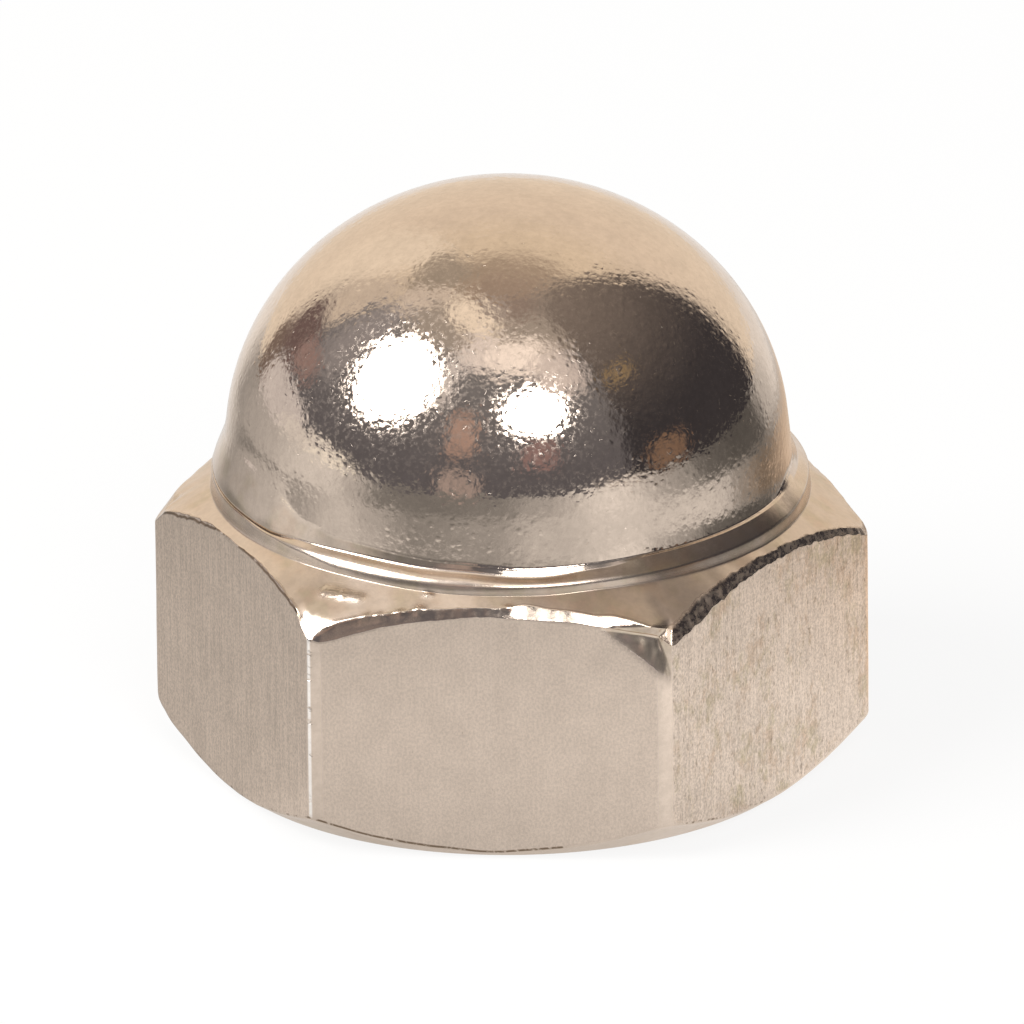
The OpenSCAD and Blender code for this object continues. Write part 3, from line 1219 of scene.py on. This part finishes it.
    def base_colour(self, tree: Tree, skin: Skin, bevel_shade: Socket, effects: Effects) -> Socket:
        """The plating's colour under its stains and pits, with painted shade on the bevel band and along the
        edges, a painted highlight along the left corners, and a slight mottling.
        """
        stain = effects.stain.place(tree, Place=skin.place, Amount=tree.blend(skin.right, *self.stain_amount))
        stain = tree.product(stain.outputs["Mask"], skin.satin)
        kinds = tree.mix(tree.ramp(tree.noise(skin.place, 0.5, 2.0, 0.6), 0.42, 0.60), self.stain, self.rust)
        blotch = tree.product(tree.ramp(skin.patchy, 0.38, 0.66), skin.cone, self.blotch_share)
        # Painted highlight: a pale line along the corners left of the front, only on the high places along
        # them.
        corner_glint = tree.product(tree.ramp(skin.edge, *self.glint_widths), skin.chatter, skin.glinting_corners)
        colour = tree.mix(tree.product(stain, self.stain_share), self.colour, kinds)
        colour = tree.mix(blotch, colour, kinds)
        # Painted shade on the bevel band.
        colour = tree.mix(tree.product(bevel_shade, self.bevel_shade_share), colour, self.dirt_and_painted_shade)
        colour = tree.mix(tree.product(skin.pits, self.pit_share), colour, self.dirt_and_painted_shade)
        colour = tree.mix(corner_glint, colour, self.glinting_corners)
        # Painted shade: thin dark lines along the edges' roundings and in the neck's groove.
        colour = tree.mix(self.painted_shade_lines(tree, skin), colour, self.dirt_and_painted_shade)
        contrast = tree.math("ADD", tree.blend(skin.left, *self.left_contrast),
                             tree.product(skin.right, self.right_contrast))
        speckle = tree.ramp(skin.tone, 0.35, 0.65, tree.math("SUBTRACT", 1.0, contrast),
                            tree.math("ADD", 1.0, contrast))
        cloud = tree.ramp(skin.patchy, 0.3, 0.7, 1 - self.clouding, 1 + self.clouding)
        polish = tree.ramp(skin.uneven, 0.3, 0.7, 1 - self.polish, 1 + self.polish)
        shade = tree.product(cloud, tree.blend(skin.satin, polish, speckle))
        return tree.scaled(colour, shade)

    def painted_shade_lines(self, tree: Tree, skin: Skin) -> Socket:
        """Mask of the painted shade in the thin lines along the edges and in the neck's groove: thin at the
        left, else narrower still.
        """
        off = tree.math("ABSOLUTE", tree.math("ADD", skin.flat, tree.blend(skin.upper, 0.024, 0.03)))
        line = tree.ramp(off, tree.blend(skin.upper, 0.036, tree.blend(skin.left, 0.07, 0.036)),
                         tree.blend(skin.upper, 0.014, tree.blend(skin.left, 0.035, 0.012)))
        line = tree.math("MAXIMUM", line, skin.neck)
        return tree.product(tree.ramp(tree.math("ADD", skin.grime, skin.uneven), 0.98, 1.16), line)

    def roughness(self, tree: Tree, skin: Skin, bevel_shade: Socket) -> Socket:
        """Mirror bright to hazy on the crown, duller where turned, and satin on the flats."""
        haze = tree.product(skin.haze, skin.crown, self.crown_haze)
        dull = tree.product(bevel_shade, tree.blend(skin.right, *self.bevel_dullness))
        bright = tree.blend(skin.gloss, self.turned_roughness, self.crown_roughness)
        bright = tree.math("ADD", tree.math("ADD", bright, haze), dull)
        return tree.blend(skin.satin, bright, self.satin_roughness)

    def relief(self, tree: Tree, skin: Skin) -> Socket:
        """Height in millimetres: the peel, the drawn grain, the pits and the notched corners."""
        peel = tree.product(skin.peel, tree.blend(skin.crown, self.turned_peel, 1.0))
        relief = tree.blend(skin.satin, peel, tree.product(skin.grain, self.grain_depth))
        relief = tree.math("SUBTRACT", relief, tree.product(skin.pits, self.pit_depth))
        low_places = tree.math("SUBTRACT", 1.0, skin.chatter)
        notch = tree.product(tree.ramp(skin.edge, *self.notch_widths), low_places, skin.glinting_corners,
                             self.notch_depth)
        return tree.math("SUBTRACT", relief, notch)


@dataclass(frozen=True)
class TappedNickel:
    """The hole: thin dull plating over the cut thread."""

    colour: Triple = (0.50, 0.43, 0.36)
    tarnished: Triple = (0.275, 0.2365, 0.198)
    roughness: float = 0.32
    haze: float = 0.2
    lumps: float = 0.008
    grains: float = 0.002
    stain_amount: float = 0.8

    def material(self, effects: Effects) -> bpy.types.Material:
        """Builds the material of the thread, the drill's point and the countersink."""
        made, tree = new_material("tapped_nickel")
        place = tree.millimetres()
        peel = effects.peel.place(tree, Place=place, Lumps=self.lumps, Grains=self.grains).outputs
        stain = effects.stain.place(tree, Place=place, Amount=self.stain_amount).outputs["Mask"]
        roughness = tree.math("ADD", tree.product(peel["Haze"], self.haze), self.roughness)
        tree.metal(tree.mix(stain, self.colour, self.tarnished), roughness, peel["Height"])
        return made


# ---------------------------------------------------------------- the studio

@dataclass(frozen=True)
class Patch:
    """Part of the room round the nut: a rounded oblong in longitude and latitude, in degrees.

    Longitude runs from the front to +X. A point at the share (u, v) of the half sizes from the
    centre is inside where the square root of u^4 + v^4 is below 1.
    """

    longitude: float
    latitude: float
    half_width: float
    half_height: float
    colour: Triple
    soft: float = 0.15
    above: Triple | None = None     # the colour it goes over to at the top

    def paint(self, tree: Tree, direction: Socket, under: Socket) -> Socket:
        """Lays the patch over the colour under it."""
        scale = (1 / self.half_width, 1 / self.half_height, 0.0)
        offset = (-self.longitude / self.half_width, -self.latitude / self.half_height, 0.0)
        share = tree.node("VectorMath", {0: direction, 1: scale, 2: offset},
                          operation="MULTIPLY_ADD").outputs[0]
        squared = tree.node("VectorMath", {0: share, 1: share}, operation="MULTIPLY").outputs[0]
        mask = tree.ramp(tree.length(squared), 1 - self.soft, 1 + self.soft, 1.0, 0.0)
        colour = self.colour
        if self.above is not None:
            height = tree.node("SeparateXYZ", {0: share}).outputs["Y"]
            colour = tree.mix(tree.ramp(height, -0.1, 1.0), self.colour, self.above)
        return tree.mix(mask, under, colour)


@dataclass(frozen=True)
class Lamp:
    """A round soft lamp, aimed at the nut."""

    name: str
    longitude: float
    latitude: float
    angular_radius: float
    brightness: float
    flatness: float = 1.0       # its height over its width
    distance: float = 0.6


@dataclass
class Studio:
    """The floor, the lamps and the room.

    The floor's tones and the room's colours are what the metal mirrors. The camera sees white.
    """

    lamps: tuple[Lamp, ...] = (
        Lamp("lamp_left", -59.5, 41, 17.3, 7.5),
        Lamp("lamp_right", 17.5, 38, 12.2, 7.5, flatness=0.84),
    )
    tent: tuple[tuple[float, Triple], ...] = (      # latitudes and the room's colours there
        (-10, (1.00, 0.93, 0.82)), (12, (0.95, 0.86, 0.74)), (35, (0.92, 0.82, 0.70)),
        (60, (0.88, 0.77, 0.62)), (72, (0.50, 0.42, 0.34)), (80, (0.44, 0.36, 0.30)))
    patches: tuple[Patch, ...] = (
        Patch(-142, 38, 12, 20, (1.02, 0.93, 0.80), 0.8),
        Patch(-128, 64, 22, 9, (0.46, 0.41, 0.35), 0.6),
        Patch(10, 65, 116, 19, (0.47, 0.43, 0.39), 0.30),
        Patch(-45, 88, 60, 9, (0.47, 0.42, 0.39), 0.5),
        Patch(60, 88, 50, 9, (0.36, 0.30, 0.27), 0.5),
        Patch(3, 5, 131, 55, (0.145, 0.143, 0.162), 0.14, (0.25, 0.25, 0.265)),
        Patch(95, 21, 40, 58, (0.053, 0.051, 0.059), 0.20, (0.27, 0.235, 0.215)),
        Patch(-97, 42, 10, 18, (0.36, 0.35, 0.37), 0.9),
        Patch(-119, 41, 8, 13, (0.76, 0.68, 0.59), 0.6),
        Patch(-106, 64, 10, 9, (0.82, 0.74, 0.66), 0.7),
        Patch(-56, 76.5, 46, 5.5, (1.12, 1.02, 0.88), 0.8),
        Patch(-16, 64, 18, 8, (0.98, 0.92, 0.90), 0.9),
        Patch(-31, 50, 5, 12, (0.78, 0.76, 0.76), 0.9),
        Patch(14, 63, 25, 8, (1.30, 1.22, 1.16), 0.9),
        Patch(37, 53, 14, 10, (0.84, 0.78, 0.76), 0.9),
        Patch(-128, 2, 6.5, 12, (0.24, 0.19, 0.17), 0.5),
        Patch(-120, 19, 9, 8, (0.19, 0.14, 0.14), 0.7),
        Patch(-107, -14, 20, 26, (0.75, 0.73, 0.74), 0.10),
        Patch(-86, -14, 20, 20, (0.86, 0.84, 0.82), 0.15),
        Patch(-72, -14, 16, 17, (1.10, 1.08, 1.00), 0.3),
        Patch(50, -8, 13, 9, (0.86, 0.82, 0.78), 0.5),
        Patch(-16, 4, 8, 6, (0.46, 0.39, 0.37), 0.7),
        Patch(-16, 27, 6, 9, (0.52, 0.38, 0.33), 0.9),
        Patch(18, 18, 7, 6, (0.36, 0.25, 0.25), 0.9),
        Patch(-107, 20, 8, 5, (0.38, 0.28, 0.27), 0.9),
        Patch(74, 6, 9, 5, (0.25, 0.17, 0.125), 0.7),
        Patch(70, 42, 9, 3, (0.33, 0.255, 0.16), 0.8),
    )
    near_floor: Stations = (        # tones by bearing, as are the next two
        (-180, 0.62), (-165, 0.80), (-150, 0.80), (-120, 0.53), (-80, 0.55), (-62, 0.60), (-52, 0.86),
        (-38, 0.86), (-28, 0.79), (-4, 0.835), (20, 0.875), (34, 0.99), (50, 1.00), (62, 0.98),
        (116, 1.00), (150, 0.82))
    middle_floor: Stations = (
        (-180, 0.80), (-165, 1.00), (-150, 0.90), (-120, 0.25), (-90, 0.32), (-60, 0.72), (-45, 0.52),
        (-30, 0.28), (-4, 0.38), (15, 0.66), (45, 0.84), (75, 0.80), (90, 0.76), (105, 0.30),
        (120, 0.15), (150, 0.58))
    far_floor: Stations = (
        (-180, 0.95), (-150, 1.00), (-135, 0.38), (-118, 0.50), (-72, 0.86), (-58, 0.58), (-45, 0.20),
        (-15, 0.19), (0, 0.24), (15, 0.46), (45, 0.98), (75, 0.40), (90, 0.11), (108, 0.05),
        (122, 0.06), (136, 0.62), (152, 0.95))
    ring_ends: tuple[Pair, ...] = ((19, 25), (31, 44))      # where each of the three goes over to the next
    front_rises: tuple[Ramp, ...] = ((6.5, 15, 0.84, 1.14), (18, 27, 1.0, 0.82))
    right_rises: tuple[Ramp, ...] = ((10, 22, 1.05, 0.82),)
    left_rises: tuple[Ramp, ...] = ((1, 9, 0.77, 1.08), (16, 28, 1.0, 0.74))
    front_to_right: Pair = (50, 75)      # bearings
    front_to_left: Pair = (-50, -66)
    least_tone: float = 0.07
    tint: Triple = (1.0, 0.99, 0.98)
    brown_tint: Triple = (1.16, 0.95, 0.76)
    brown_bearings: Pair = (95, 120)
    brown_reach: Pair = (36, 24)        # millimetres from the axis
    card: Triple = (0.85, 0.84, 0.82)
    card_glow: float = 0.86         # how much of the card shines by itself for the camera
    floor_radius: float = 0.6       # metres
    floor_rings: int = 12
    floor_columns: int = 96
    soft_light: Triple = (0.45, 0.44, 0.43)

    def build(self) -> None:
        """Sets up everything round the nut."""
        self.build_floor()
        self.build_lamps()
        self.build_room()

    def build_floor(self) -> None:
        """A pale round sheet under the nut: rings of radius R s^2 for s from 0 to 1, closed by a centre."""
        turn = np.linspace(0.0, FULL_TURN, self.floor_columns, endpoint=False)
        radius = self.floor_radius * np.linspace(0.0, 1.0, self.floor_rings + 1)[1:] ** 2
        ring = np.stack([np.cos(turn), np.sin(turn), 0 * turn], axis=-1)
        points = np.concatenate([np.zeros((1, 3)), (radius[:, None, None] * ring).reshape(-1, 3)])
        number = 1 + np.arange(len(radius) * len(turn)).reshape(len(radius), len(turn))
        after = np.roll(number, -1, axis=1)
        inner = np.stack([0 * number[0], number[0], after[0]], axis=-1)
        outer = np.stack([number[:-1], number[1:], after[1:], after[:-1]], axis=-1).reshape(-1, 4)
        mesh = bpy.data.meshes.new("floor")
        mesh.from_pydata(points.tolist(), [], inner.tolist() + outer.tolist())
        floor = bpy.data.objects.new("floor", mesh)
        bpy.context.scene.collection.objects.link(floor)
        mesh.materials.append(self.floor_material())

    def floor_material(self) -> bpy.types.Material:
        """White card to the camera; to the metal it is bright near the nut and dims further out.

        Seen from below it isn't there, so that the underside can be looked at.
        """
        made, tree = new_material("floor_card")
        path = tree.node("LightPath").outputs
        at = tree.node("SeparateXYZ", {0: tree.millimetres()}).outputs
        away = tree.length(tree.node("CombineXYZ", {0: at["X"], 1: at["Y"]}).outputs[0])
        bearing = tree.bearing(at)
        card = tree.node("BsdfDiffuse", {"Color": self.card}).outputs[0]
        glow = tree.node("Emission", {"Color": WHITE, "Strength": 1.0}).outputs[0]
        brown = tree.product(tree.ramp(bearing, *self.brown_bearings), tree.ramp(away, *self.brown_reach))
        mirrored = tree.node("Emission", {"Color": tree.mix(brown, self.tint, self.brown_tint),
                                          "Strength": self.floor_tone(tree, away, bearing)}).outputs[0]
        shader = tree.mix_shader(path["Is Glossy Ray"], card, mirrored)
        shader = tree.mix_shader(path["Is Camera Ray"], shader, tree.mix_shader(self.card_glow, card, glow))
        shader = tree.mix_shader(tree.node("NewGeometry").outputs["Backfacing"], shader,
                                 tree.node("BsdfTransparent").outputs[0])
        tree.node("OutputMaterial", {0: shader})
        return made

    def floor_tone(self, tree: Tree, away: Socket, bearing: Socket) -> Socket:
        """How bright the floor is to the metal.

        Three rings of tones go over into one another. The nearest also rises and falls with the
        distance, in its own way at the front, the right and the left.
        """
        front, right, left = (tree.product(*(tree.ramp(away, *rise) for rise in rises))
                              for rises in (self.front_rises, self.right_rises, self.left_rises))
        rise = tree.blend(tree.ramp(bearing, *self.front_to_right), front, right)
        rise = tree.blend(tree.ramp(bearing, *self.front_to_left), rise, left)
        near, *others = (self.bearing_ramp(tree, bearing, stations)
                         for stations in (self.near_floor, self.middle_floor, self.far_floor))
        tone = tree.product(near, rise)
        for other, ends in zip(others, self.ring_ends):
            tone = tree.blend(tree.ramp(away, *ends), tone, other)
        return tree.math("ADD", tree.product(tone, 1 - self.least_tone), self.least_tone)

    @staticmethod
    def bearing_ramp(tree: Tree, bearing: Socket, stations: Stations) -> Socket:
        """The floor's tone for each bearing, eased from station to station over the whole turn."""
        share = tree.node("MapRange", {"Value": bearing, "From Min": -180.0, "From Max": 180.0}).outputs[0]
        made = tree.node("ValToRGB", {0: share})
        stops = made.color_ramp.elements
        made.color_ramp.interpolation = "EASE"
        for stop in stops:
            stop.color = (stations[0][1],) * 3 + (1.0,)
        for place, tone in stations[1:]:
            stops.new((place + 180) / 360).color = (tone, tone, tone, 1.0)
        return tree.node("SeparateColor", {0: made.outputs["Color"]}).outputs[0]

    def build_lamps(self) -> None:
        """Places each lamp and turns it to the nut.

        A flat lamp of the area A and the power P shows the brightness P / (4 A), so P is worked
        out from the brightness wanted.
        """
        for lamp in self.lamps:
            light = bpy.data.lights.new(lamp.name, "AREA")
            light.shape = "ELLIPSE"
            radius = lamp.distance * math.tan(math.radians(lamp.angular_radius))
            light.size = 2 * radius
            light.size_y = 2 * radius * lamp.flatness
            light.energy = lamp.brightness * 4 * math.pi * radius ** 2 * lamp.flatness
            direction = self.direction(lamp.longitude, lamp.latitude)
            holder = bpy.data.objects.new(lamp.name, light)
            turn = direction.to_track_quat("Z", "Y").to_matrix().to_4x4()
            holder.matrix_world = Matrix.Translation(direction * lamp.distance) @ turn
            holder.visible_camera = False
            bpy.context.scene.collection.objects.link(holder)

    @staticmethod
    def direction(longitude: float, latitude: float) -> Vector:
        """Unit vector to a longitude, from the front towards +X, and a latitude, in degrees."""
        lon, lat = math.radians(longitude), math.radians(latitude)
        return Vector((math.sin(lon) * math.cos(lat), -math.cos(lon) * math.cos(lat), math.sin(lat)))

    def build_room(self) -> None:
        """White to the camera, and to the metal the bright tent behind with the dark room in front."""
        world = bpy.data.worlds.new("room")
        world.use_nodes = True
        world.cycles.sampling_method = "NONE"
        bpy.context.scene.world = world
        tree = Tree(world.node_tree)
        at = tree.node("SeparateXYZ", {0: tree.node("TexCoord").outputs["Generated"]}).outputs
        latitude = tree.product(tree.math("ARCSINE", at["Z"]), math.degrees(1.0))
        low, colour = self.tent[0]
        for high, above in self.tent[1:]:
            colour = tree.mix(tree.ramp(latitude, low, high), colour, above)
            low = high
        direction = tree.node("CombineXYZ", {0: tree.bearing(at), 1: latitude}).outputs[0]
        for patch in self.patches:
            colour = patch.paint(tree, direction, colour)
        room, white, soft = (tree.node("Background", {"Color": shown, "Strength": 1.0}).outputs[0]
                             for shown in (colour, WHITE, self.soft_light))
        path = tree.node("LightPath").outputs
        shader = tree.mix_shader(path["Is Camera Ray"], room, white)
        shader = tree.mix_shader(path["Is Diffuse Ray"], shader, soft)
        tree.node("OutputWorld", {0: shader})


@dataclass(frozen=True)
class Viewpoint:
    """The camera: a long lens, a little above and to the right of the front."""

    azimuth: float = math.radians(4.2567)
    elevation: float = math.radians(21.1609)
    roll: float = math.radians(-0.6155)
    distance: float = 0.512
    lens: float = 878.41
    target: Triple = (0.0, 0.0, 5.76 * MM)
    aim_right: float = 0.0276 * MM
    aim_up: float = -0.6130 * MM

    def build(self) -> None:
        """Makes the camera, looking at a point a little off the target, and turned by the roll."""
        back = Vector((math.sin(self.azimuth) * math.cos(self.elevation),
                       -math.cos(self.azimuth) * math.cos(self.elevation), math.sin(self.elevation)))
        right = Vector((math.cos(self.azimuth), math.sin(self.azimuth), 0.0))
        up = back.cross(right)
        rolled_right = math.cos(self.roll) * right + math.sin(self.roll) * up
        rolled_up = math.cos(self.roll) * up - math.sin(self.roll) * right
        place = Vector(self.target) + self.distance * back
        aim = Vector(self.target) + self.aim_right * rolled_right + self.aim_up * rolled_up
        away = (place - aim).normalized()
        across = rolled_up.cross(away).normalized()
        turn = Matrix((across, away.cross(across), away)).transposed().to_4x4()
        data = bpy.data.cameras.new("camera")
        data.lens = self.lens
        data.clip_start = 0.01
        camera = bpy.data.objects.new("camera", data)
        camera.matrix_world = Matrix.Translation(place) @ turn
        bpy.context.scene.collection.objects.link(camera)
        bpy.context.scene.camera = camera


def main() -> None:
    """Builds the nut and its studio."""
    logging.basicConfig(level=logging.INFO, format="%(name)s: %(message)s")
    bpy.context.scene.view_settings.view_transform = "Standard"
    corner = np.array(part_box(NODE)[1]) / MM
    thread = next(m for m in frame["record"]["mounts"] if m["name"] == "thread")
    nut = CapNut(Hexagon(flat_r=float(corner[1])), Neck(), Crown(top=float(corner[2])),
                 TappedHole(minor_r=thread["dims"]["r_mm"]))
    piece = nut.build()
    effects = Effects()
    materials = {Finish.PLATED: PlatedNickel(), Finish.TAPPED: TappedNickel()}
    for finish in Finish:
        piece.data.materials.append(materials[finish].material(effects))
    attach(piece, BODY)
    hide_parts(NODE)
    LOG.info("%s: %d triangles", piece.name, len(piece.data.loops) - 2 * len(piece.data.polygons))
    Studio().build()
    Viewpoint().build()


if __name__ == "__main__":
    main()
